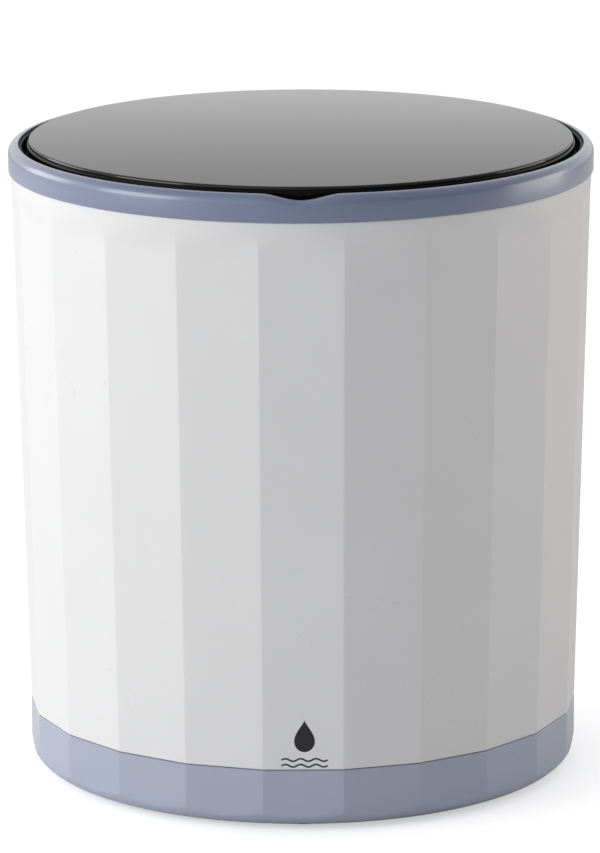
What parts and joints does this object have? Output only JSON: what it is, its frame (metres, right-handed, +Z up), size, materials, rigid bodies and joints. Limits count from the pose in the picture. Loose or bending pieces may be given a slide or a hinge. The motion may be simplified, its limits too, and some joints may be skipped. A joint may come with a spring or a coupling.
{
  "type": "portable mini washer",
  "caption": "Small tub washing machine: a faceted round white bucket casing with blue rim and base, a dark lift-off lid, and a belt-driven impeller in the tub floor.",
  "frame": {"origin": "centre of the base on the surface that the rubber feet stand on", "axes": "+Z up along the tub's axis, -Y towards the front, where the finger notch is, +Y towards the rear control panel"},
  "size_m": [0.26, 0.26, 0.285],
  "materials": {
    "white_shell": "satin moulded ABS",
    "blue_trim": "satin moulded ABS",
    "rubber_grey": "matt moulded rubber",
    "steel_screw": "zinc-plated steel",
    "black_plastic": "matt moulded plastic",
    "smoked_lid": "polished dark moulding",
    "tub_plastic": "moulded polypropylene",
    "stainless": "brushed stainless",
    "impeller_blue": "moulded polypropylene",
    "housing_grey": "glass-filled nylon",
    "bronze": "oil-filled sintered bronze",
    "pulley_black": "glass-filled nylon",
    "belt_rubber": "ribbed drive belt",
    "can_steel": "zinc-plated motor can",
    "magnet": "ferrite magnet",
    "copper": "steel core with copper windings",
    "button_white": "satin button cap",
    "lens_green": "translucent lens",
    "board_green": "solder-masked board",
    "wire_red": "PVC sleeved lead",
    "wire_blue": "PVC sleeved lead",
    "nylon_nut": "natural nylon"
  },
  "bodies": {
    "casing": {"outer_shell": "white_shell", "base_tray": "blue_trim", "rubber_feet": "rubber_grey", "base_screws": "steel_screw", "top_ring": "blue_trim", "lid_seat": "black_plastic", "wash_tub": "tub_plastic", "drain_grille": "stainless", "bearing_housing": "housing_grey", "upper_bush": "bronze", "lower_bush": "bronze", "shaft_seal": "rubber_grey", "housing_screws": "steel_screw", "drive_belt": "belt_rubber", "motor_can": "can_steel", "motor_end_cap": "black_plastic", "motor_magnets": "magnet", "motor_bracket": "can_steel", "motor_screws": "steel_screw", "bracket_screws": "steel_screw", "bracket_grommets": "rubber_grey", "control_panel": "blue_trim", "indicator_lens": "lens_green", "control_board": "board_green", "board_parts": "black_plastic", "board_screws": "steel_screw", "power_socket": "black_plastic", "socket_pin": "stainless", "socket_nut": "steel_screw", "power_lead": "wire_red", "motor_lead": "wire_blue", "drain_hose": "rubber_grey", "hose_clips": "steel_screw", "drain_spout": "blue_trim", "spout_nut": "nylon_nut"},
    "lid": {"lid_panel": "smoked_lid", "lid_liner": "black_plastic", "lid_gasket": "rubber_grey"},
    "wash_rotor": {"impeller": "impeller_blue", "impeller_screw": "stainless", "impeller_cap": "impeller_blue", "spindle": "stainless", "spindle_circlip": "steel_screw", "driven_pulley": "pulley_black", "pulley_washer": "steel_screw", "pulley_nut": "steel_screw"},
    "motor_rotor": {"motor_armature": "copper", "motor_shaft": "stainless", "motor_pulley": "pulley_black"},
    "power_button": {"power_button": "button_white"},
    "mode_button": {"mode_button": "button_white"},
    "drain_plug": {"drain_plug": "rubber_grey"}
  },
  "joints": [
    {"name": "lid_lift", "type": "slide", "parent": "casing", "child": "lid", "axis": [0, 0, 1], "range_m": [0, 0.2]},
    {"name": "impeller_spin", "type": "hinge", "parent": "casing", "child": "wash_rotor", "pos_m": [0, 0, 0.08], "axis": [0, 0, 1], "continuous": true},
    {"name": "motor_spin", "type": "hinge", "parent": "casing", "child": "motor_rotor", "pos_m": [-0.076, 0, 0.05], "axis": [0, 0, 1], "continuous": true},
    {"name": "power_press", "type": "slide", "parent": "casing", "child": "power_button", "axis": [0, -0.9997, 0.0237], "range_m": [0, 0.0008], "stiffness_N_per_m": 900},
    {"name": "mode_press", "type": "slide", "parent": "casing", "child": "mode_button", "axis": [0, -0.9997, 0.0237], "range_m": [0, 0.0008], "stiffness_N_per_m": 900},
    {"name": "drain_plug_pull", "type": "slide", "parent": "casing", "child": "drain_plug", "axis": [-0.2817, 0.9595, 0], "range_m": [0, 0.03]}
  ],
  "couplings": [
    {"joint": "motor_spin", "follows": "impeller_spin", "ratio": 5}
  ]
}
